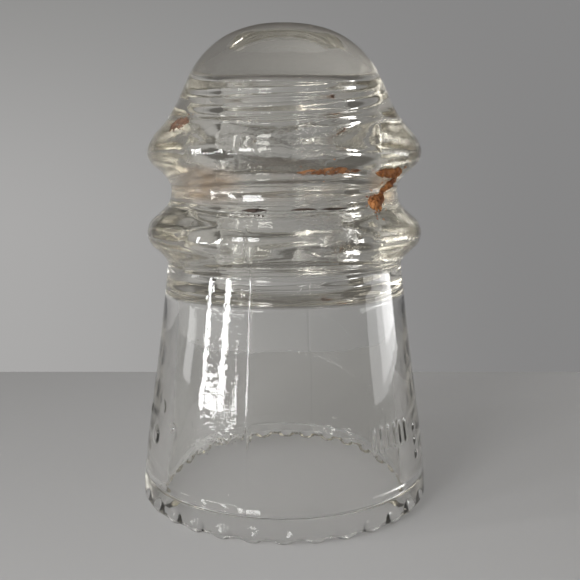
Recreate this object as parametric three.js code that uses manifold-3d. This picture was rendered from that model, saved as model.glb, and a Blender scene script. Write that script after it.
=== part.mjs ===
// A pin insulator: one pressed body of clear glass, with what its tie wire left behind on it.
//
// The glass is a solid of revolution: a domed crown, two flanges with the wire groove between
// them, a shallow neck and a long skirt on a ring of round drip points. A right-hand thread is
// moulded into the pin hole, and below it a flat shoulder opens into the skirt's bell.
//
// Units are millimetres. +Z runs up the pin's axis, the drip points' tips are on Z = 0, and
// the front is -Y.
import * as THREE from 'three';
import * as BufferGeometryUtils from 'three/addons/utils/BufferGeometryUtils.js';
import Module from 'manifold-3d';

const wasm = await Module();
wasm.setup();

// ---- driving dimensions ----

const BASE_RADIUS = 28.575;   // 2 1/4 in across the skirt's lower edge
const HEIGHT = 92.4;
const SEGMENTS = 40;          // facets round the glass

const RIM_Z = 1.0;            // underside of the rim, between the drip points
const RIM_ROUND = 0.9;

// Radius and height at the turning points of the outside, from the crown down to the skirt.
const OUTSIDE = [
  [0, HEIGHT], [6.3, 91.8], [10.9, 90.2], [14.5, 87.7], [17.2, 84.6], [19.0, 81.2], [20.7, 77.6],
  [22.8, 74.1], [24.9, 71.7], [26.2, 69.5], [26.4, 67.8],              // upper flange
  [25.6, 66.1], [23.6, 64.3], [22.3, 62.6], [22.0, 60.9],              // wire groove
  [22.6, 58.6], [24.3, 56.8], [26.1, 55.1], [26.75, 53.0],             // lower flange
  [26.2, 51.0], [24.4, 49.2], [23.2, 47.7], [23.0, 46.2],              // neck
  [23.6, 41.6], [24.7, 32.6], [26.1, 23.0], [27.4, 13.8], [28.3, 6.0], // skirt
  [BASE_RADIUS, RIM_Z + RIM_ROUND],
];

// The bell inside the skirt, from the rim's inner edge up to its top corner.
const BELL = [[23.9, 5.0], [23.5, 9.0], [22.9, 15.0], [22.2, 24.0], [21.6, 32.0], [21.1, 40.2]];
const RIM_FLAT_RADIUS = 26.0;    // from here the rim's underside slopes up to the bell
const RIM_INNER = [24.3, 4.1];
const SHOULDER_Z = 42.0;      // flat shoulder round the mouth of the pin hole
const BELL_CORNER = SHOULDER_Z - 40.2;

// Pin hole for a 1 in pin, tapered 1/16 in per inch on diameter.
const HOLE_TOP_Z = 80.5;
const HOLE_TOP_RADIUS = 12.7;
const TAPER = 1 / 32;         // growth of the radius for each millimetre down
const HOLE_ROUND = 1.2;
const MOUTH_CHAMFER = 0.7;
const THREAD_PITCH = 4.4;
const THREAD_DEPTH = 0.7;
const THREAD_RUNOUT = 2.2;    // the thread fades in and out over this height
const THREAD_ROWS_PER_PITCH = 5;

const DRIP_POINTS = 30;
const DRIP_RING_RADIUS = 26.7;
const DRIP_RADIUS = 1.65;
const DRIP_STRETCH = 1.42;    // length along the rim over width across it
const DRIP_FLAT = 0.5;        // radius of the worn flat on each tip
const DRIP_SEGMENTS = 8;
const DRIP_RINGS = 4;

const DEPOSIT_GAP = 0.3;      // between the glass and what sticks to it

// ---- materials ----

const glass = new THREE.MeshStandardMaterial({
  color: 0xdfe2dc, roughness: 0.06, metalness: 0, transparent: true, opacity: 0.35,
});
const rust = new THREE.MeshStandardMaterial({ color: 0x9a4f22, roughness: 0.95, metalness: 0 });
const residue = new THREE.MeshStandardMaterial({ color: 0x3a2419, roughness: 0.9, metalness: 0 });
const dirt = new THREE.MeshStandardMaterial({ color: 0x6e513c, roughness: 0.95, metalness: 0 });

// ---- the glass ----

const radians = (degrees) => degrees * Math.PI / 180;
const vectors = (pairs) => pairs.map(([r, z]) => new THREE.Vector2(r, z));

const outsidePoints = vectors(OUTSIDE);

function holeRadius(z) {
  return HOLE_TOP_RADIUS + (HOLE_TOP_Z - z) * TAPER;
}

function arcPoints(centreR, centreZ, radius, fromDegrees, toDegrees, steps) {
  const points = [];
  for (let i = 0; i <= steps; i++) {
    const angle = radians(fromDegrees + (toDegrees - fromDegrees) * i / steps);
    points.push(new THREE.Vector2(
      centreR + radius * Math.cos(angle), centreZ + radius * Math.sin(angle)));
  }
  return points;
}

// The rim turns in under the skirt, runs flat, and slopes up to the bell's edge.
function rimPoints() {
  const outer = arcPoints(BASE_RADIUS - RIM_ROUND, RIM_Z + RIM_ROUND, RIM_ROUND, -22.5, -90, 3);
  return [...outer, ...vectors([[RIM_FLAT_RADIUS, RIM_Z], RIM_INNER])];
}

function bellPoints() {
  const top = BELL[BELL.length - 1];
  const corner = arcPoints(top[0] - BELL_CORNER, top[1], BELL_CORNER, 30, 90, 2);
  return [...vectors(BELL), ...corner];
}

// Rows of the pin hole's wall, each with the share of the thread's depth it carries.
function holeRows() {
  const bottom = SHOULDER_Z + MOUTH_CHAMFER;
  const top = HOLE_TOP_Z - HOLE_ROUND;
  const count = Math.round((top - bottom) / THREAD_PITCH * THREAD_ROWS_PER_PITCH);
  const rows = [];
  for (let i = 0; i <= count; i++) {
    const z = bottom + (top - bottom) * i / count;
    const fade = Math.min(1, (z - bottom) / THREAD_RUNOUT, (top - z) / THREAD_RUNOUT);
    rows.push({ point: new THREE.Vector2(holeRadius(z), z), share: fade });
  }
  return rows;
}

function ceilingPoints() {
  const wall = holeRadius(HOLE_TOP_Z - HOLE_ROUND);
  const corner = arcPoints(wall - HOLE_ROUND, HOLE_TOP_Z - HOLE_ROUND, HOLE_ROUND, 30, 90, 2);
  return [...corner, new THREE.Vector2(0, HOLE_TOP_Z)];
}

// How far the thread stands in from the wall, as a share of its depth.
function threadWave(z, turn) {
  return 0.5 + 0.5 * Math.cos(2 * Math.PI * (z / THREAD_PITCH - turn));
}

function turnedGlass() {
  const plain = (points) => points.map((point) => ({ point, share: 0 }));
  const mouth = new THREE.Vector2(holeRadius(SHOULDER_Z) + MOUTH_CHAMFER, SHOULDER_Z);
  const rows = [
    ...plain(outsidePoints), ...plain(rimPoints()), ...plain(bellPoints()), ...plain([mouth]),
    ...holeRows(), ...plain(ceilingPoints()),
  ];
  const geometry = new THREE.LatheGeometry(rows.map((row) => row.point), SEGMENTS);
  const position = geometry.attributes.position;
  for (let i = 0; i <= SEGMENTS; i++) {
    const turn = (i % SEGMENTS) / SEGMENTS;
    rows.forEach(({ point, share }, j) => {
      const radius = point.x - THREAD_DEPTH * share * threadWave(point.y, turn);
      const angle = 2 * Math.PI * turn;
      position.setXYZ(
        i * rows.length + j, radius * Math.sin(angle), point.y, radius * Math.cos(angle));
    });
  }
  geometry.rotateX(Math.PI / 2);
  return geometry;
}

// One drip point: a ball drawn out along the rim and sunk into it, with a small flat on its tip.
function dripPoint(angle) {
  const flatZ = Math.sqrt(DRIP_RADIUS ** 2 - DRIP_FLAT ** 2);
  const flatDegrees = THREE.MathUtils.radToDeg(Math.atan2(-flatZ, DRIP_FLAT));
  const ball = arcPoints(0, 0, DRIP_RADIUS, flatDegrees, 90, DRIP_RINGS);
  ball[ball.length - 1].x = 0;
  const geometry = new THREE.LatheGeometry([new THREE.Vector2(0, -flatZ), ...ball], DRIP_SEGMENTS);
  geometry.rotateX(Math.PI / 2);
  geometry.scale(DRIP_STRETCH, 1, 1);
  geometry.translate(0, -DRIP_RING_RADIUS, flatZ);
  geometry.rotateZ(angle);
  return geometry;
}

function toSolid(geometry) {
  const bare = geometry.clone();
  bare.deleteAttribute('normal');
  bare.deleteAttribute('uv');
  const merged = BufferGeometryUtils.mergeVertices(bare, 1e-4);
  const triangles = [];
  const index = merged.index.array;
  for (let i = 0; i < index.length; i += 3) {
    const [a, b, c] = [index[i], index[i + 1], index[i + 2]];
    if (a !== b && b !== c && a !== c) triangles.push(a, b, c);
  }
  const closed = () => new wasm.Manifold(new wasm.Mesh({
    numProp: 3,
    vertProperties: new Float32Array(merged.attributes.position.array),
    triVerts: new Uint32Array(triangles),
  }));
  const solid = closed();
  if (solid.volume() > 0) return solid;
  triangles.reverse();
  return closed();
}

function fromSolid(solid) {
  const mesh = solid.getMesh();
  const geometry = new THREE.BufferGeometry();
  geometry.setAttribute('position', new THREE.BufferAttribute(mesh.vertProperties, 3));
  geometry.setIndex(new THREE.BufferAttribute(mesh.triVerts, 1));
  geometry.computeVertexNormals();
  return geometry;
}

function glassBody() {
  let solid = toSolid(turnedGlass());
  for (let i = 0; i < DRIP_POINTS; i++) {
    solid = solid.add(toSolid(dripPoint(2 * Math.PI * i / DRIP_POINTS)));
  }
  return fromSolid(solid);
}

// ---- what sticks to the glass ----

// Radius of the outside at a height, read off the same profile as the glass.
function outsideRadius(z) {
  for (let i = 1; i < outsidePoints.length; i++) {
    const upper = outsidePoints[i - 1];
    const lower = outsidePoints[i];
    if (z <= upper.y && z >= lower.y) {
      return THREE.MathUtils.mapLinear(z, lower.y, upper.y, lower.x, upper.x);
    }
  }
  throw new Error(`no outside at height ${z}`);
}

// A thin lens of material lying on the outside. Its middle line runs through
// stations of [degrees from the front, height, half its width up and down, thickness].
const DEPOSIT_ROWS = 6;
const DEPOSIT_EDGE = 0.35;    // thickness at the edges, as a share of the thickness in the middle
const SLOPE_STEP = 0.2;       // half the height over which the outside's slope is read

function deposit(stations) {
  const section = (station) => {
    const [degrees, middle, half, thick] = station;
    const outer = [];
    const inner = [];
    for (let j = 0; j <= DEPOSIT_ROWS; j++) {
      const across = -1 + 2 * j / DEPOSIT_ROWS;
      const z = middle + half * across;
      const bulge = thick * (DEPOSIT_EDGE + (1 - DEPOSIT_EDGE) * Math.sqrt(1 - across * across));
      outer.push(ring(degrees, z, DEPOSIT_GAP + bulge));
      inner.push(ring(degrees, z, DEPOSIT_GAP));
    }
    return [...outer, ...inner.reverse()];
  };
  const ring = (degrees, z, out) => {
    const rise = outsideRadius(z + SLOPE_STEP) - outsideRadius(z - SLOPE_STEP);
    const normal = new THREE.Vector2(2 * SLOPE_STEP, -rise).normalize();
    const radius = outsideRadius(z) + normal.x * out;
    const angle = radians(degrees);
    return [radius * Math.sin(angle), -radius * Math.cos(angle), z + normal.y * out];
  };
  const sections = stations.map(section);
  const size = sections[0].length;
  const triangles = [];
  for (let i = 0; i + 1 < sections.length; i++) {
    for (let j = 0; j < size; j++) {
      const k = (j + 1) % size;
      const [a, b] = [i * size + j, i * size + k];
      const [c, d] = [a + size, b + size];
      triangles.push(a, c, b, b, c, d);
    }
  }
  for (let j = 1; j + 1 < size; j++) {
    const last = (sections.length - 1) * size;
    triangles.push(0, j, j + 1, last, last + j + 1, last + j);
  }
  const geometry = new THREE.BufferGeometry();
  geometry.setAttribute('position', new THREE.Float32BufferAttribute(sections.flat(2), 3));
  geometry.setIndex(triangles);
  return fromSolid(toSolid(geometry));
}

const DEPOSITS = [
  { name: 'rust_crust_upper', material: rust, stations: [
    [42, 64.6, 0.3, 0.3], [47, 64.6, 0.6, 0.6], [53, 64.6, 0.8, 0.8], [58, 64.6, 0.7, 0.7],
    [63, 64.5, 0.3, 0.3]] },
  { name: 'rust_crust_middle', material: rust, stations: [
    [54, 62.1, 0.4, 0.3], [57, 62.2, 0.9, 0.6], [60, 62.2, 1.1, 0.8], [63, 62.2, 0.9, 0.6],
    [66, 62.1, 0.3, 0.3]] },
  { name: 'rust_crust_lower', material: rust, stations: [
    [42, 59.4, 0.5, 0.3], [44, 59.2, 1.1, 0.7], [48, 59.2, 1.5, 0.9], [52, 59.6, 1.0, 0.6],
    [55, 59.9, 0.4, 0.3]] },
  { name: 'rust_smear_front', material: rust, stations: [
    [5, 64.7, 0.2, 0.15], [12, 64.8, 0.5, 0.25], [22, 65.0, 0.6, 0.25], [34, 65.0, 0.2, 0.15]] },
  { name: 'wire_residue_left', material: residue, stations: [
    [-18.5, 58.3, 0.15, 0.15], [-12, 58.3, 0.4, 0.3], [-7, 58.4, 0.15, 0.15]] },
  { name: 'wire_residue_centre', material: residue, stations: [
    [6, 58.5, 0.12, 0.12], [10, 58.5, 0.22, 0.25], [14, 58.5, 0.12, 0.12]] },
  { name: 'wire_residue_right', material: residue, stations: [
    [16, 58.5, 0.12, 0.12], [22, 58.5, 0.22, 0.25], [28, 58.6, 0.12, 0.12]] },
  { name: 'dirt_patch_crown', material: dirt, stations: [
    [-62, 73.2, 0.3, 0.1], [-57, 73.2, 1.0, 0.15], [-51, 73.3, 1.0, 0.15],
    [-46, 73.4, 0.4, 0.1]] },
];

// ---- the object ----

const insulator = new THREE.Group();

function addPart(name, geometry, material) {
  const mesh = new THREE.Mesh(geometry, material);
  mesh.name = name;
  insulator.add(mesh);
}

addPart('glass_body', glassBody(), glass);
for (const { name, material, stations } of DEPOSITS) addPart(name, deposit(stations), material);

export default insulator;
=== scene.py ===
import math

import bmesh
import bpy
import numpy as np
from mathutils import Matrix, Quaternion, Vector, noise


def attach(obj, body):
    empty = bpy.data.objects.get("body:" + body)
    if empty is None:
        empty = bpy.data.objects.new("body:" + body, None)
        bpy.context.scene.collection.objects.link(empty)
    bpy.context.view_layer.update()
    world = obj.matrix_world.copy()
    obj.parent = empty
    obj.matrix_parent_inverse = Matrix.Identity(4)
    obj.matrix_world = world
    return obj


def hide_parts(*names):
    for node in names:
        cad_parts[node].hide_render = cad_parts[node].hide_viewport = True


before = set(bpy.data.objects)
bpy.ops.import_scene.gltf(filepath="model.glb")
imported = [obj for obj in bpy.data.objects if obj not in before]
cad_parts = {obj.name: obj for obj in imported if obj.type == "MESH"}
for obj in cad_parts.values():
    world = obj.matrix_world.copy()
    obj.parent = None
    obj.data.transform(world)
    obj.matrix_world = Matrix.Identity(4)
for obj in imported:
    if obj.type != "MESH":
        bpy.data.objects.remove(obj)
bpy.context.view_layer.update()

MM = 0.001

# ---- the glass, in millimetres, on the same dimensions as the CAD part ----

BASE_RADIUS = 28.575
HEIGHT = 92.4
RIM_Z = 1.0
RIM_ROUND = 0.9

# Radius and height down the outside: crown, upper flange, groove, lower flange, neck, skirt.
OUTSIDE = [
    (0, HEIGHT), (6.3, 91.8), (10.9, 90.2), (14.5, 87.7), (17.2, 84.6), (19.0, 81.2), (20.7, 77.6),
    (22.8, 74.1), (24.9, 71.7), (26.2, 69.5), (26.4, 67.8),
    (25.6, 66.1), (23.6, 64.3), (22.3, 62.6), (22.0, 60.9),
    (22.6, 58.6), (24.3, 56.8), (26.1, 55.1), (26.75, 53.0),
    (26.2, 51.0), (24.4, 49.2), (23.2, 47.7), (23.0, 46.2),
    (23.6, 41.6), (24.7, 32.6), (26.1, 23.0), (27.4, 13.8), (28.3, 6.0),
    (BASE_RADIUS, RIM_Z + RIM_ROUND),
]
BELL = [(23.9, 5.0), (23.5, 9.0), (22.9, 15.0), (22.2, 24.0), (21.6, 32.0), (21.1, 40.2)]
RIM_FLAT_RADIUS = 26.0
RIM_INNER = (24.3, 4.1)
SHOULDER_Z = 42.0
BELL_CORNER = SHOULDER_Z - BELL[-1][1]

HOLE_TOP_Z = 80.5
HOLE_TOP_RADIUS = 12.7
TAPER = 1 / 32
HOLE_ROUND = 1.2
MOUTH_CHAMFER = 0.7
THREAD_PITCH = 4.4
THREAD_DEPTH = 0.7
THREAD_RUNOUT = 2.2

DRIP_POINTS = 30
DRIP_RING_RADIUS = 26.7
DRIP_RADIUS = 1.65
DRIP_STRETCH = 1.42

# ---- what only the fine surface shows ----

SEAM_DEGREES = (-14, 166)      # the two mould halves meet here
SEAM_HEIGHT = 0.13
SEAM_HALF_WIDTH = 0.22
SEAM_TOP_Z, SEAM_FADE = 62, 14
SEAM_CLEARANCE = 0.12          # no other column stands this near to a seam's own, in degrees
SEAM_COLUMNS = (-0.8, -0.45, -0.2, 0, 0.2, 0.45, 0.8)    # degrees either side of a seam
WAVE_HEIGHT = 0.03             # slow waves that the pressing leaves in the glass
# Share of that height, waves round the body, radians per millimetre of height, and phase.
WAVES = ((0.5, 3, 0.11, 0), (0.3, 7, -0.23, 1.1), (0.2, 13, 0.37, 2.3))

# The sharp lip where the rim's underside meets the bell, from its inner edge on.
LIP = ((-0.16, 0.02), (-0.24, 0.1), (-0.24, 0.2), (-0.14, 0.32), (-0.18, 0.55))

# Raised marks round the lower skirt stand for the maker's lettering: plain bars and dots only.
MARK_HEIGHT = 0.2
MARK_STEP = 0.34
MARK_COLUMN_DEGREES = 0.5
MARK_SOFTNESS = 0.4           # width of a mark's sloping edge
MARKS_TOP_Z, MARKS_BOTTOM_Z = 24.0, 9.0
BAR_DEGREES = (37, 41, 45, 49, 53, 57)
BAR_Z, BAR_HALF_HEIGHT, BAR_HALF_WIDTH = 17.0, 1.7, 0.32
# Degrees, height and radius of each dot.
DOTS = ((-50, 18.0, 0.5), (-75, 18.9, 0.9), (-64, 15.2, 1.5),
        (66, 16.5, 0.6), (66, 13.8, 0.6), (66, 11.1, 0.6))
MARKED_SPANS = ((35, 68), (-79, -46))

BODY_COLUMNS = 240
HOLE_COLUMNS = 180
RIM_COLUMNS = 640
BODY_STEP = 0.8                # along the outline
BELL_STEP = 1.3
HOLE_STEP = 0.32
RIM_STEP = 0.24
CURVE_STEPS = 24               # between two points of an outline
ARC_STEPS = 8


# ---- outlines ----

def smooth_curve(points):
    """A Catmull-Rom curve through the points, as an array of (radius, height). It is level where
    it starts on the axis."""
    points = np.array(points, float)
    ends = [2 * points[0] - points[1], 2 * points[-1] - points[-2]]
    if points[0, 0] == 0:
        ends[0] = points[1] * (-1, 1)
    padded = np.vstack([ends[0], points, ends[1]])
    share = np.linspace(0, 1, CURVE_STEPS, endpoint=False)[:, None]
    curve = []
    for a, b, c, d in zip(padded, padded[1:], padded[2:], padded[3:]):
        curve.append(0.5 * (2 * b + (c - a) * share + (2 * a - 5 * b + 4 * c - d) * share ** 2
                            + (3 * b - a - 3 * c + d) * share ** 3))
    curve = np.vstack([*curve, points[-1:]])
    curve[:, 0] = np.maximum(curve[:, 0], 0)
    return curve


def arc(centre, radius, start, end):
    """Points on an arc between two angles in degrees."""
    angles = np.radians(np.linspace(start, end, ARC_STEPS + 1))
    return np.array(centre) + radius * np.stack([np.cos(angles), np.sin(angles)], 1)


def spaced(curve, step):
    """The curve again, with points at even steps along it."""
    lengths = np.concatenate([[0], np.cumsum(np.linalg.norm(np.diff(curve, axis=0), axis=1))])
    count = max(2, round(lengths[-1] / step) + 1)
    at = np.linspace(0, lengths[-1], count)
    return np.stack([np.interp(at, lengths, curve[:, i]) for i in (0, 1)], 1)


def outward(curve):
    """Unit normals of an outline that runs down the outside of the glass."""
    along = np.gradient(curve, axis=0)
    along /= np.linalg.norm(along, axis=1)[:, None]
    return np.stack([-along[:, 1], along[:, 0]], 1)


OUTSIDE_CURVE = smooth_curve(OUTSIDE)


def outside_radius(z):
    return np.interp(z, OUTSIDE_CURVE[::-1, 1], OUTSIDE_CURVE[::-1, 0])


def hole_radius(z):
    return HOLE_TOP_RADIUS + (HOLE_TOP_Z - z) * TAPER


# ---- rings of points, and the skin between them ----

class Skin:
    """A mesh built ring by ring round the Z axis, in millimetres."""

    def __init__(self):
        self.points, self.faces, self.last = [], [], None

    def ring(self, angles, radius, height):
        """Adds a ring and joins it to the one before. Angles run from the front towards +X."""
        start = len(self.points)
        radius, height = np.broadcast_to(radius, angles.shape), np.broadcast_to(height, angles.shape)
        self.points += list(zip(radius * np.sin(angles), -radius * np.cos(angles), height))
        if self.last is not None:
            self.join(self.last, (start, angles))
        self.last = (start, angles)

    def pole(self, height):
        """Closes the skin on the axis, or opens it there."""
        self.ring(np.zeros(1), 0.0, height)

    def join(self, upper, lower):
        (a, angles_a), (b, angles_b) = upper, lower
        count_a, count_b = len(angles_a), len(angles_b)
        if count_a == count_b:
            for i in range(count_a):
                j = (i + 1) % count_a
                self.faces.append((a + i, b + i, b + j, a + j))
        elif count_a == 1:
            self.faces += [(a, b + j, b + (j + 1) % count_b) for j in range(count_b)]
        elif count_b == 1:
            self.faces += [(a + i, b, a + (i + 1) % count_a) for i in range(count_a)]
        else:
            self.zip_up(a, list(angles_a[1:]) + [2 * math.pi, math.inf],
                        b, list(angles_b[1:]) + [2 * math.pi, math.inf])

    def zip_up(self, a, next_a, b, next_b):
        """Joins two rings of different counts, each step on the ring whose next point comes first."""
        count_a, count_b = len(next_a) - 1, len(next_b) - 1
        i = j = 0
        while i < count_a or j < count_b:
            here_a, here_b = a + i % count_a, b + j % count_b
            if next_a[i] <= next_b[j]:
                self.faces.append((here_a, here_b, a + (i + 1) % count_a))
                i += 1
            else:
                self.faces.append((here_a, here_b, b + (j + 1) % count_b))
                j += 1

    def object(self, name, material):
        mesh = bpy.data.meshes.new(name)
        mesh.from_pydata([(x * MM, y * MM, z * MM) for x, y, z in self.points], [], self.faces)
        mesh.shade_smooth()
        mesh.materials.append(material)
        made = bpy.data.objects.new(name, mesh)
        bpy.context.scene.collection.objects.link(made)
        return made


def even_angles(count):
    return np.arange(count) * 2 * math.pi / count


def with_seams(angles):
    """The angles with a few more on each mould seam, so that its narrow ridge has a shape."""
    extra = [math.radians(seam + step) % (2 * math.pi)
             for seam in SEAM_DEGREES for step in SEAM_COLUMNS]
    clear = [a for a in angles if min(abs(a - e) for e in extra) > math.radians(SEAM_CLEARANCE)]
    return np.array(sorted([*clear, *extra]))


def seam_ridge(angles, radius, height):
    """Height of the mould seam at each angle. It fades out on the crown."""
    ridge = np.zeros_like(angles)
    for seam in SEAM_DEGREES:
        off = (angles - math.radians(seam) + math.pi) % (2 * math.pi) - math.pi
        ridge += SEAM_HEIGHT * np.exp(-(off * radius / SEAM_HALF_WIDTH) ** 2)
    return ridge * np.clip((SEAM_TOP_Z - height) / SEAM_FADE, 0, 1)


def waves(angles, height):
    """Slow, shallow waves over the outside, which only cut into it."""
    return WAVE_HEIGHT * sum(share * np.sin(turns * angles + rise * height + phase)
                             for share, turns, rise, phase in WAVES) - WAVE_HEIGHT


def with_marks(angles):
    """The angles with finer steps over the bars and the dots."""
    fine = np.concatenate([np.arange(a, b, MARK_COLUMN_DEGREES) for a, b in MARKED_SPANS])
    fine = np.radians(fine) % (2 * math.pi)
    clear = [a for a in angles if min(abs(fine - a)) > math.radians(MARK_COLUMN_DEGREES)]
    return np.array(sorted([*clear, *fine]))


def mark_relief(angles, height):
    """Height of the raised bars and dots at each angle."""
    radius = float(outside_radius(height))
    relief = np.zeros_like(angles)

    def raise_by(distance):
        np.maximum(relief, MARK_HEIGHT * np.clip(0.5 - distance / MARK_SOFTNESS, 0, 1), out=relief)

    def along(degrees):
        return ((angles - math.radians(degrees) + math.pi) % (2 * math.pi) - math.pi) * radius

    for degrees in BAR_DEGREES:
        over = max(0, abs(height - BAR_Z) - BAR_HALF_HEIGHT)
        raise_by(np.hypot(along(degrees), over) - BAR_HALF_WIDTH)
    for degrees, z, size in DOTS:
        raise_by(np.hypot(along(degrees), height - z) - size)
    return relief


def thread_wave(z, angles):
    """How far the thread stands in from the wall, as a share of its depth."""
    return 0.5 + 0.5 * np.cos(2 * math.pi * (z / THREAD_PITCH) - angles)


def drip_share(angles, radius):
    """How far down each point of the rim's underside is drawn towards the drip points' tips."""
    pitch = 2 * math.pi / DRIP_POINTS
    off = (angles + pitch / 2) % pitch - pitch / 2
    along, across = radius * np.sin(off) / DRIP_STRETCH, radius * np.cos(off) - DRIP_RING_RADIUS
    away = np.hypot(along, across) / DRIP_RADIUS
    return np.maximum(0, 1 - away ** 2)


def outside_rings(skin):
    """The outside, in bands: the plain part, and the marked part with finer columns at the marks."""
    curve = spaced(OUTSIDE_CURVE, BODY_STEP)
    plain = with_seams(even_angles(BODY_COLUMNS))
    marked = with_marks(plain)
    skin.pole(HEIGHT)
    upper = curve[(curve[:, 1] > MARKS_TOP_Z) & (curve[:, 0] > 0)]
    lower = curve[curve[:, 1] < MARKS_BOTTOM_Z][:-1]
    heights = OUTSIDE_CURVE[:, 1]
    band = OUTSIDE_CURVE[(heights <= MARKS_TOP_Z) & (heights >= MARKS_BOTTOM_Z)]
    for part, angles in ((upper, plain), (spaced(band, MARK_STEP), marked), (lower, plain)):
        for (radius, height), (out_r, out_z) in zip(part, outward(part)):
            off = (seam_ridge(angles, radius, height) + waves(angles, height)
                   + mark_relief(angles, height))
            skin.ring(angles, radius + out_r * off, height + out_z * off)


def rim_rings(skin):
    edge = arc((BASE_RADIUS - RIM_ROUND, RIM_Z + RIM_ROUND), RIM_ROUND, 0, -90)
    slope = np.vstack([edge, [(RIM_FLAT_RADIUS, RIM_Z), RIM_INNER]])
    lip = np.array(RIM_INNER) + LIP
    angles = even_angles(RIM_COLUMNS)
    for radius, height in np.vstack([spaced(slope, RIM_STEP), lip, BELL[:1]]):
        skin.ring(angles, radius, height * (1 - drip_share(angles, radius)))


def bell_rings(skin):
    corner = arc((BELL[-1][0] - BELL_CORNER, BELL[-1][1]), BELL_CORNER, 0, 90)
    angles = even_angles(BODY_COLUMNS)
    for radius, height in spaced(smooth_curve(BELL), BELL_STEP)[1:-1]:
        skin.ring(angles, radius, height)
    for radius, height in corner:
        skin.ring(angles, radius, height)


def hole_rings(skin):
    angles = even_angles(HOLE_COLUMNS)
    bottom, top = SHOULDER_Z + MOUTH_CHAMFER, HOLE_TOP_Z - HOLE_ROUND
    skin.ring(angles, hole_radius(SHOULDER_Z) + MOUTH_CHAMFER, SHOULDER_Z)
    for z in np.linspace(bottom, top, round((top - bottom) / HOLE_STEP) + 1):
        share = min(1, (z - bottom) / THREAD_RUNOUT, (top - z) / THREAD_RUNOUT)
        skin.ring(angles, hole_radius(z) - THREAD_DEPTH * share * thread_wave(z, angles), z)
    wall = hole_radius(top)
    for radius, height in arc((wall - HOLE_ROUND, top), HOLE_ROUND, 0, 90)[1:]:
        skin.ring(angles, radius, height)
    skin.pole(HOLE_TOP_Z)


def glass_body(material):
    skin = Skin()
    outside_rings(skin)
    rim_rings(skin)
    bell_rings(skin)
    hole_rings(skin)
    return skin.object("clear_glass_body", material)


# ---- what sticks to the glass ----

SUNK = 0.05                    # deposits reach this far into the glass, so that no gap shows
OUTLINE_RAGGED = 0.55          # how much noise moves a crust's outline, as a share of its reach
END_SHARE = 0.6                # share of the gap between two stations over which an end closes
THINNEST = 0.15                # share of its thickness that a crust keeps in its dips
OUTLINE_GRAIN = 0.5            # noise steps along a crust's outline, for each degree
LUMP_GRAIN = (1.1, 2.6)        # noise steps over a crust, for each degree and each millimetre up
CRUST_COLUMNS, CRUST_ROWS = 44, 13
CRUST_ROUGHNESS = 0.9
GRAIN_SPREAD_DEGREES = 1.5
GRAIN_SPREAD_UP = 0.375        # added to the half height of the crust beside the grain
GRAIN_SIZES = (0.4, 1.3)       # shares of the deposit's grain size
GRAIN_REACH = (0.7, 1.2)       # shares of the grain's own radius, drawn at each of its corners
GRAIN_SIDES = 7
GRAIN_STRETCH = 1.5            # grains are wider than they are high
GRAIN_RISE = 0.5               # how far a grain stands out, as a share of its radius
WELD = 0.004                   # points closer than this become one


def on_outside(degrees, height, off):
    """A point off the outside by so much, in millimetres."""
    step = 0.2
    rise = outside_radius(height + step) - outside_radius(height - step)
    out = Vector((2 * step, -rise)).normalized()
    radius, angle = outside_radius(height) + out.x * off, math.radians(degrees)
    return (radius * math.sin(angle), -radius * math.cos(angle), height + out.y * off)


def ragged(x, y, seed):
    """Smooth noise round 0, much the same height everywhere."""
    return noise.noise(Vector((x, y, seed))) + 0.5 * noise.noise(Vector((2.3 * x, 2.3 * y, seed + 7)))


def crust_patch(stations, seed):
    """Points and faces of one ragged crust through stations of degrees, height, half height
    and thickness. The outer and the inner sheet share their outline."""
    columns, rows = CRUST_COLUMNS, CRUST_ROWS
    marks = np.linspace(0, len(stations) - 1, columns)
    table = np.array(stations, float)
    degrees, middle, half, thick = (np.interp(marks, range(len(table)), table[:, i]) for i in range(4))
    ends = np.sqrt(np.clip(np.minimum(marks, marks[-1] - marks) / END_SHARE, 0, 1))
    round_grain, up_grain = LUMP_GRAIN
    points, faces = [], []
    for outer in (True, False):
        for i in range(columns):
            top, bottom = (
                half[i] * ends[i] * (1 + OUTLINE_RAGGED * ragged(degrees[i] * OUTLINE_GRAIN, row, seed))
                for row in (1, 9))
            for j in range(rows):
                across = -1 + 2 * j / (rows - 1)
                z = middle[i] + across * (top if across > 0 else bottom)
                bulge = math.sqrt(max(0, 1 - across * across)) * ends[i]
                lump = 1 + CRUST_ROUGHNESS * ragged(degrees[i] * round_grain, z * up_grain, seed)
                off = -SUNK + (thick[i] * bulge * max(THINNEST, lump) if outer else 0)
                points.append(on_outside(degrees[i], z, off))
    size = columns * rows
    for i in range(columns - 1):
        for j in range(rows - 1):
            a = i * rows + j
            faces.append((a, a + rows, a + rows + 1, a + 1))
            faces.append((size + a, size + a + 1, size + a + rows + 1, size + a + rows))
    return points, faces


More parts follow.
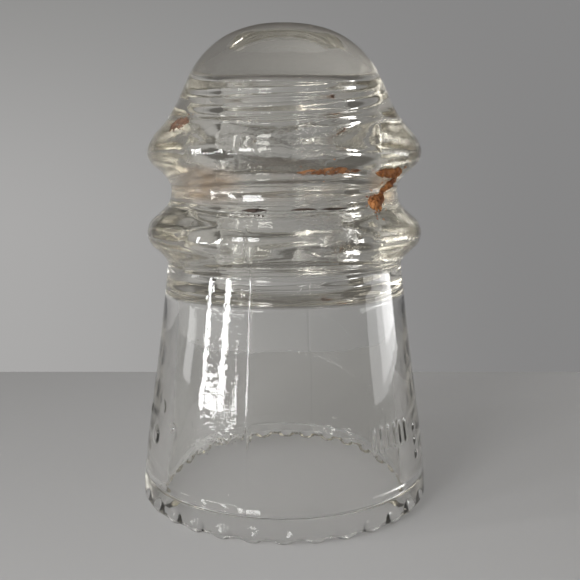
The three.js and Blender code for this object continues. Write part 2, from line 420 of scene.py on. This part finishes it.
def flecks(stations, seed, count, size):
    """Small flat grains scattered round the same stations."""
    table, points, faces = np.array(stations, float), [], []
    draw = np.random.default_rng(seed)
    for _ in range(count):
        at = draw.uniform(0, len(table) - 1)
        degrees, middle, half, _ = (np.interp(at, range(len(table)), table[:, i]) for i in range(4))
        degrees += draw.normal(0, GRAIN_SPREAD_DEGREES)
        height = middle + draw.normal(0, half + GRAIN_SPREAD_UP)
        radius = size * draw.uniform(*GRAIN_SIZES)
        start = len(points)
        points.append(on_outside(degrees, height, radius * GRAIN_RISE))
        for side in range(GRAIN_SIDES):
            angle = 2 * math.pi * side / GRAIN_SIDES
            reach = radius * draw.uniform(*GRAIN_REACH)
            turn = math.degrees(reach * GRAIN_STRETCH * math.cos(angle) / outside_radius(height))
            points.append(on_outside(degrees + turn, height + reach * math.sin(angle), -SUNK))
        for side in range(GRAIN_SIDES):
            faces.append((start, start + 1 + side, start + 1 + (side + 1) % GRAIN_SIDES))
        faces.append(tuple(start + 1 + side for side in reversed(range(GRAIN_SIDES))))
    return points, faces


def deposit(name, node, material, stations, seed, grains, grain_size=0.16):
    """One crust with loose grains round it, which stands for one CAD node."""
    points, faces = crust_patch(stations, seed)
    more_points, more_faces = flecks(stations, seed, grains, grain_size)
    faces += [tuple(len(points) + i for i in face) for face in more_faces]
    mesh = bpy.data.meshes.new(name)
    mesh.from_pydata([Vector(p) * MM for p in points + more_points], [], faces)
    edit = bmesh.new()
    edit.from_mesh(mesh)
    bmesh.ops.remove_doubles(edit, verts=edit.verts, dist=WELD * MM)
    bmesh.ops.recalc_face_normals(edit, faces=edit.faces)
    edit.to_mesh(mesh)
    edit.free()
    mesh.shade_smooth()
    mesh.materials.append(material)
    made = bpy.data.objects.new(name, mesh)
    bpy.context.scene.collection.objects.link(made)
    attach(made, "root")
    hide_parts(node)


# ---- materials ----

class Nodes:
    """The node tree of a material or a world, with short ways to add to it."""

    def __init__(self, owner, shader, coordinates):
        owner.use_nodes = True
        self.tree = owner.node_tree
        self.shader = self.tree.nodes[shader]
        self.place = self.tree.nodes.new("ShaderNodeTexCoord").outputs[coordinates]

    def add(self, kind, inputs=(), **settings):
        node = self.tree.nodes.new(kind)
        for name, value in settings.items():
            setattr(node, name, value)
        for key, value in dict(inputs).items():
            if isinstance(value, bpy.types.NodeSocket):
                self.tree.links.new(value, node.inputs[key])
            else:
                node.inputs[key].default_value = value
        return node

    def math(self, operation, a, b=0.0, c=0.0):
        return self.add("ShaderNodeMath", {0: a, 1: b, 2: c}, operation=operation).outputs[0]

    def times(self, first, *others):
        for other in others:
            first = self.math("MULTIPLY", first, other)
        return first

    def blend(self, start, *pairs):
        """The start value plus each mask times its weight."""
        for mask, weight in pairs:
            start = self.math("MULTIPLY_ADD", mask, weight, start)
        return start

    def axes(self):
        return self.add("ShaderNodeSeparateXYZ", {"Vector": self.place}).outputs

    def noise(self, scale, detail=2.0, roughness=0.5):
        node = self.add("ShaderNodeTexNoise", {
            "Vector": self.place, "Scale": scale, "Detail": detail, "Roughness": roughness})
        return node.outputs["Fac"]

    def band(self, value, low, high, soft):
        """1 between low and high, 0 outside, with soft edges."""
        rising = self.step(value, low - soft, low + soft)
        return self.times(rising, self.step(value, high + soft, high - soft))

    def step(self, value, low, high):
        """0 at low and 1 at high, with a smooth slope between. Low may be the larger of the two."""
        return self.add("ShaderNodeMapRange", {"Value": value, "From Min": low, "From Max": high},
                        interpolation_type="SMOOTHSTEP").outputs[0]

    def mix(self, share, a, b):
        node = self.add("ShaderNodeMix", data_type="RGBA")
        for index, value in ((0, share), (6, a), (7, b)):
            if isinstance(value, bpy.types.NodeSocket):
                self.tree.links.new(value, node.inputs[index])
            else:
                node.inputs[index].default_value = (*value, 1) if index else value
        return node.outputs[2]

    def drive(self, socket, value):
        if isinstance(value, bpy.types.NodeSocket):
            self.tree.links.new(value, self.shader.inputs[socket])
        else:
            self.shader.inputs[socket].default_value = value

    def bump(self, height, distance):
        node = self.add("ShaderNodeBump", {"Height": height, "Distance": distance})
        self.tree.links.new(node.outputs[0], self.shader.inputs["Normal"])


class MaterialNodes(Nodes):
    """A new material's node tree."""

    def __init__(self, name):
        self.material = bpy.data.materials.new(name)
        super().__init__(self.material, "Principled BSDF", "Object")


CLEAR = (0.985, 0.985, 0.975)
STAIN = (0.62, 0.36, 0.16)
# Painted shade: the pin hole's flat ceiling is made dull, brownish and less clear, which darkens the band
# it makes in the crown.
CEILING_PAINTED_SHADE = (0.62, 0.56, 0.50)
OLIVE = (0.82, 0.80, 0.68)
TINT = (0.45, 0.35, 0.05, 1)   # light that passes far through the glass turns this way
TINT_DENSITY = 6.0
POLISHED = 0.012

# Where each look of the glass lies, in metres. Two numbers run from none of it to all of it. Three
# numbers are the zone's two ends and the softness of its edges.
OUTSIDE_RADIUS = (0.0185, 0.0205)
FRONT_Y = (0.004, -0.006)
GROOVE_Z = (0.0595, 0.0655, 0.0012)
LEFT_STAIN_X = (-0.0195, -0.0085, 0.003)
RIGHT_STAIN_X = (0.0150, 0.0205, 0.0012)
RIGHT_STAIN_Z = (0.0590, 0.0650, 0.001)
FILM_Z = (0.0495, 0.0690, 0.002)
CEILING_Z = (HOLE_TOP_Z * MM - 0.0004, HOLE_TOP_Z * MM + 0.0004, 0.0002)
CEILING_RADIUS = (0.0130, 0.0115)
FLANGES_Z = (0.047, 0.072, 0.002)
RIGHT_EDGE_X = (0.0165, 0.0195)
RIPPLES_X = (-0.0165, -0.006, 0.0015)
RIPPLES_Z = (0.015, 0.046, 0.003)


class GlassNodes(MaterialNodes):
    """The glass's node tree, with a method for each of its masks and one for its relief."""

    def __init__(self, name):
        super().__init__(name)
        self.x, y, self.z = self.axes()
        self.radius = self.math("SQRT", self.math("ADD", self.times(self.x, self.x), self.times(y, y)))
        self.outside = self.step(self.radius, *OUTSIDE_RADIUS)
        self.front = self.step(y, *FRONT_Y)

    def stain(self):
        """Brown stain in the groove: strongest on the left, patchy elsewhere, and a spot on the right."""
        groove = self.times(self.band(self.z, *GROOVE_Z), self.outside)
        patchy = self.step(self.noise(scale=140, detail=4, roughness=0.6), 0.42, 0.68)
        left = self.band(self.x, *LEFT_STAIN_X)
        spread = self.times(groove, self.blend(0.0, (patchy, 0.3), (left, 0.5)), self.front)
        spot = self.times(self.band(self.x, *RIGHT_STAIN_X), self.band(self.z, *RIGHT_STAIN_Z))
        return self.math("MAXIMUM", spread, self.times(spot, self.front, 0.7))

    def film(self):
        """Faint olive film in patches, on both flanges and between them."""
        zone = self.times(self.band(self.z, *FILM_Z), self.outside, self.front)
        return self.times(zone, self.step(self.noise(scale=90, detail=3), 0.35, 0.75))

    def ceiling(self):
        """The flat end of the pin hole, where a dull brownish colour paints shade."""
        return self.times(self.band(self.z, *CEILING_Z), self.step(self.radius, *CEILING_RADIUS))

    def relief(self):
        """Crinkled on the flanges, rippled on the skirt's left front, nearly smooth elsewhere."""
        flanges = self.times(self.band(self.z, *FLANGES_Z), self.outside)
        patches = self.step(self.noise(scale=110), 0.50, 0.62)
        rough = self.math("MAXIMUM", patches, self.step(self.x, *RIGHT_EDGE_X))
        crinkled = self.blend(0.05, (flanges, self.blend(0.25, (rough, 0.65))))
        crinkles = self.blend(self.noise(scale=760, detail=3, roughness=0.6), (self.noise(scale=230), 1.6))
        zone = self.times(self.band(self.x, *RIPPLES_X), self.band(self.z, *RIPPLES_Z))
        rippled = self.times(zone, self.outside, self.front, 0.28)
        ripples = self.math("ADD", self.noise(scale=1100), self.noise(scale=240))
        return self.blend(self.times(crinkles, crinkled), (rippled, ripples))


def glass_material():
    n = GlassNodes("clear_pressed_glass")
    stain, film, ceiling = n.stain(), n.film(), n.ceiling()
    colour = n.mix(n.times(film, 0.45), CLEAR, OLIVE)
    # The ceiling mask paints shade: this colour and the lower transmission below darken the ceiling's
    # band.
    n.drive("Base Color", n.mix(ceiling, n.mix(stain, colour, STAIN), CEILING_PAINTED_SHADE))
    n.drive("Transmission Weight", n.blend(1.0, (stain, -0.12), (film, -0.03), (ceiling, -0.3)))
    n.drive("Roughness", n.blend(POLISHED, (stain, 0.25)))
    n.drive("IOR", 1.5)
    n.bump(n.relief(), 0.0001)
    absorb = n.add("ShaderNodeVolumeAbsorption", {"Color": TINT, "Density": TINT_DENSITY})
    n.tree.links.new(absorb.outputs[0], n.tree.nodes["Material Output"].inputs["Volume"])
    return n.material


def rust_material(name, dark, mid, pale, see_through=0.0):
    """A crust's material. Above 0, see_through opens gaps in it."""
    n = MaterialNodes(name)
    coarse = n.noise(scale=420, detail=4, roughness=0.65)
    grain = n.noise(scale=2400, detail=3, roughness=0.7)
    colour = n.mix(n.step(coarse, 0.38, 0.6), dark, mid)
    n.drive("Base Color", n.mix(n.times(n.step(grain, 0.55, 0.75), 0.55), colour, pale))
    n.drive("Roughness", n.blend(0.5, (grain, 0.4)))
    n.bump(n.blend(coarse, (grain, 0.5)), 0.00012)
    if see_through:
        gaps = n.noise(scale=900, detail=4, roughness=0.7)
        solid = n.step(gaps, see_through - 0.08, see_through + 0.08)
        n.drive("Alpha", n.blend(0.12, (solid, 0.75)))
    return n.material


# Painted light and shade: the floor's colour runs from darker on the left to lighter towards the right.
FLOOR_GRADE_X = (-0.12, 0.05)
FLOOR_LEFT, FLOOR_RIGHT = (0.33, 0.326, 0.322), (0.44, 0.435, 0.43)
FLOOR_GLOW = 0.125
PAINTED_POOL_GLOW = 0.03           # painted pool of light: the floor glows a little more inside the skirt, in place of the light the glass gathers there
PAINTED_POOL_SHARE = 0.7           # of the base's radius, where that glow is full


def floor_material():
    n = MaterialNodes("pale_floor")
    across, _, _ = n.axes()
    # Painted light and shade: the floor's colour grade across X.
    n.drive("Base Color", n.mix(n.step(across, *FLOOR_GRADE_X), FLOOR_LEFT, FLOOR_RIGHT))
    n.drive("Roughness", 0.85)
    away = n.add("ShaderNodeVectorMath", {0: n.place}, operation="LENGTH").outputs["Value"]
    # Painted pool of light: extra emission on the floor inside the skirt.
    inside = n.step(away, BASE_RADIUS * MM, BASE_RADIUS * MM * PAINTED_POOL_SHARE)
    n.drive("Emission Color", (1.0, 0.99, 0.98, 1))
    n.drive("Emission Strength", n.blend(FLOOR_GLOW, (inside, PAINTED_POOL_GLOW)))
    return n.material


BACKDROP_GRADE_X, BACKDROP_GRADE_Z = (-0.26, 0.22), (0.0, 0.28)
BACKDROP_LEFT_LOW, BACKDROP_LEFT_HIGH = (0.40, 0.395, 0.39), (0.245, 0.243, 0.238)
BACKDROP_RIGHT = (0.232, 0.230, 0.230)
BACKDROP_DARK, BACKDROP_DARK_Z = (0.095, 0.09, 0.083), (0.19, 0.30)


def backdrop_material():
    """Brighter towards the window on the left, and dark above the camera's view."""
    n = MaterialNodes("grey_backdrop")
    across, _, up = n.axes()
    left = n.mix(n.step(up, *BACKDROP_GRADE_Z), BACKDROP_LEFT_LOW, BACKDROP_LEFT_HIGH)
    seen = n.mix(n.step(across, *BACKDROP_GRADE_X), left, BACKDROP_RIGHT)
    n.drive("Base Color", (0, 0, 0, 1))
    n.drive("Roughness", 1.0)
    n.drive("Emission Color", n.mix(n.step(up, *BACKDROP_DARK_Z), seen, BACKDROP_DARK))
    n.drive("Emission Strength", 1.0)
    return n.material


# ---- stage, light and camera ----

FLOOR_BACK_Y = 0.095
FLOOR_FRONT_Y = -0.6
FLOOR_HALF_WIDTH = 0.7
BACKDROP_Y = 0.5
BACKDROP_HALF_WIDTH = 2
BACKDROP_BOTTOM_Z, BACKDROP_TOP_Z = -1, 1.6

# Name, azimuth, distance, low edge, high edge, width, radiance and lean of each lamp. Azimuths run
# from the front towards +X. Angles are in degrees and lengths in metres.
LAMPS = (
    ("window_strip", -70, 0.30, 0.003, 0.120, 0.019, 32, 0),
    ("window_frame", -51, 0.30, 0.012, 0.120, 0.024, 32, -8),
    ("window_edge", -40, 0.30, 0.011, 0.033, 0.009, 30, 0),
    ("window_sill", -46, 0.29, 0.010, 0.014, 0.050, 26, 0),
    ("window_corner", -61, 0.31, 0.006, 0.020, 0.060, 26, 0),
    ("window_above", -30, 0.30, 0.080, 0.180, 0.100, 16, 0),
    ("side_left", -90, 0.30, 0.008, 0.034, 0.050, 3.5, 0),
    ("side_right_wide", 98, 0.30, 0.000, 0.055, 0.220, 2.4, 0),
    ("side_right_mid", 104, 0.32, 0.004, 0.045, 0.150, 2.3, 0),
    ("side_right_core", 108, 0.34, 0.010, 0.040, 0.100, 2.8, 0),
)

CAMERA_PLACE = (0.0011, -0.1658, 0.0668)
CAMERA_TILT = 8.8              # degrees down
CAMERA_LENS, CAMERA_SENSOR = 52.1, 36
CAMERA_NEAR = 0.01


def sheet(name, corners, material):
    mesh = bpy.data.meshes.new(name)
    mesh.from_pydata(corners, [], [(0, 1, 2, 3)])
    mesh.materials.append(material)
    made = bpy.data.objects.new(name, mesh)
    bpy.context.scene.collection.objects.link(made)


def stage():
    w, back = FLOOR_HALF_WIDTH, FLOOR_BACK_Y
    sheet("floor", [(-w, FLOOR_FRONT_Y, 0), (w, FLOOR_FRONT_Y, 0), (w, back, 0), (-w, back, 0)],
          floor_material())
    w, low, high = BACKDROP_HALF_WIDTH, BACKDROP_BOTTOM_Z, BACKDROP_TOP_Z
    sheet("backdrop", [(x, BACKDROP_Y, z) for x, z in ((-w, low), (w, low), (w, high), (-w, high))],
          backdrop_material())


def soft_world():
    """A grey room, darker overhead and at the front, brighter on the left."""
    world = bpy.data.worlds.new("soft_grey")
    n = Nodes(world, "Background", "Generated")

    def graded(axis, low, high):
        return n.add("ShaderNodeMapRange", {
            "Value": axis, "From Min": -1, "From Max": 1, "To Min": low, "To Max": high}).outputs[0]

    x, y, z = n.axes()
    n.drive("Color", (1.0, 0.99, 0.97, 1))
    n.drive("Strength", n.times(graded(z, 1.15, 0.25), graded(x, 1.2, 0.8), graded(y, 0.5, 0.75)))
    bpy.context.scene.world = world


def softbox(name, azimuth, distance, low, high, width, radiance, lean):
    """An upright rectangular lamp between two heights, facing the axis, which no camera sees.
    Lean turns it in its own plane."""
    lamp = bpy.data.lights.new(name, "AREA")
    lamp.shape, lamp.size, lamp.size_y = "RECTANGLE", width, high - low
    lamp.energy = radiance * math.pi * width * (high - low)
    angle = math.radians(azimuth)
    made = bpy.data.objects.new(name, lamp)
    made.location = (distance * math.sin(angle), -distance * math.cos(angle), (low + high) / 2)
    facing = Vector((-math.sin(angle), math.cos(angle), 0)).to_track_quat("-Z", "Y")
    made.rotation_euler = (facing @ Quaternion((0, 0, 1), math.radians(lean))).to_euler()
    made.visible_camera = False
    bpy.context.scene.collection.objects.link(made)


def camera():
    lens = bpy.data.cameras.new("camera")
    lens.sensor_width, lens.lens, lens.clip_start = CAMERA_SENSOR, CAMERA_LENS, CAMERA_NEAR
    made = bpy.data.objects.new("camera", lens)
    made.location = CAMERA_PLACE
    made.rotation_euler = (math.radians(90 - CAMERA_TILT), 0, 0)
    bpy.context.scene.collection.objects.link(made)
    bpy.context.scene.camera = made


def render_settings():
    scene = bpy.context.scene
    scene.view_settings.view_transform = "Standard"
    scene.cycles.max_bounces = 24
    scene.cycles.transmission_bounces = 24
    scene.cycles.glossy_bounces = 12


# ---- the scene ----

stage()
soft_world()
for lamp in LAMPS:
    softbox(*lamp)
camera()
render_settings()

body = glass_body(glass_material())
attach(body, "root")
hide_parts("glass_body")

rust = rust_material("flaking_rust", (0.22, 0.07, 0.02), (0.46, 0.18, 0.05), (0.78, 0.48, 0.27))
thin_rust = rust_material("thin_rust", (0.25, 0.09, 0.03), (0.45, 0.20, 0.08), (0.6, 0.36, 0.2),
                          see_through=0.5)
residue = rust_material("dark_residue", (0.02, 0.012, 0.008), (0.05, 0.03, 0.02), (0.14, 0.08, 0.05))
dirt = rust_material("brown_dirt", (0.10, 0.05, 0.03), (0.20, 0.11, 0.07), (0.36, 0.24, 0.17),
                     see_through=0.42)

# Each deposit's stations give degrees, height, half height and thickness.
deposit("rust_flakes_upper", "rust_crust_upper", rust, [
    (42, 64.6, 0.3, 0.3), (47, 64.6, 0.6, 0.6), (53, 64.6, 0.8, 0.8), (58, 64.6, 0.7, 0.7),
    (63, 64.5, 0.3, 0.3)], seed=3, grains=26)
deposit("rust_flakes_middle", "rust_crust_middle", rust, [
    (51, 60.7, 0.5, 0.3), (54, 61.3, 0.6, 0.4), (58, 62.2, 0.8, 0.7), (61, 63.0, 0.9, 0.6),
    (64, 63.9, 0.5, 0.3)], seed=5, grains=34)
deposit("rust_flakes_lower", "rust_crust_lower", rust, [
    (42, 59.4, 0.5, 0.3), (44, 59.2, 1.1, 0.7), (48, 59.2, 1.4, 0.9), (52, 59.9, 0.9, 0.6),
    (55, 60.5, 0.4, 0.3)], seed=8, grains=30)
deposit("rust_film_front", "rust_smear_front", thin_rust, [
    (5, 64.7, 0.2, 0.1), (12, 64.8, 0.5, 0.14), (22, 65.0, 0.6, 0.14), (34, 65.0, 0.2, 0.1)],
    seed=11, grains=24)
deposit("dark_line_left", "wire_residue_left", residue, [
    (-18.5, 58.3, 0.14, 0.15), (-12, 58.3, 0.32, 0.3), (-7, 58.4, 0.14, 0.15)],
    seed=14, grains=24, grain_size=0.1)
deposit("dark_line_centre", "wire_residue_centre", residue, [
    (3, 58.4, 0.08, 0.1), (7, 58.5, 0.17, 0.2), (11, 58.5, 0.17, 0.2), (15, 58.5, 0.08, 0.1)],
    seed=17, grains=14, grain_size=0.08)
deposit("dark_line_right", "wire_residue_right", residue, [
    (16, 58.5, 0.08, 0.1), (20, 58.5, 0.17, 0.2), (25, 58.5, 0.17, 0.2), (30, 58.6, 0.08, 0.1)],
    seed=20, grains=18, grain_size=0.08)
deposit("dirt_on_crown", "dirt_patch_crown", dirt, [
    (-60, 73.2, 0.3, 0.1), (-55, 73.2, 1.0, 0.15), (-49, 73.3, 1.0, 0.15), (-45, 73.4, 0.4, 0.1)],
    seed=23, grains=26, grain_size=0.12)
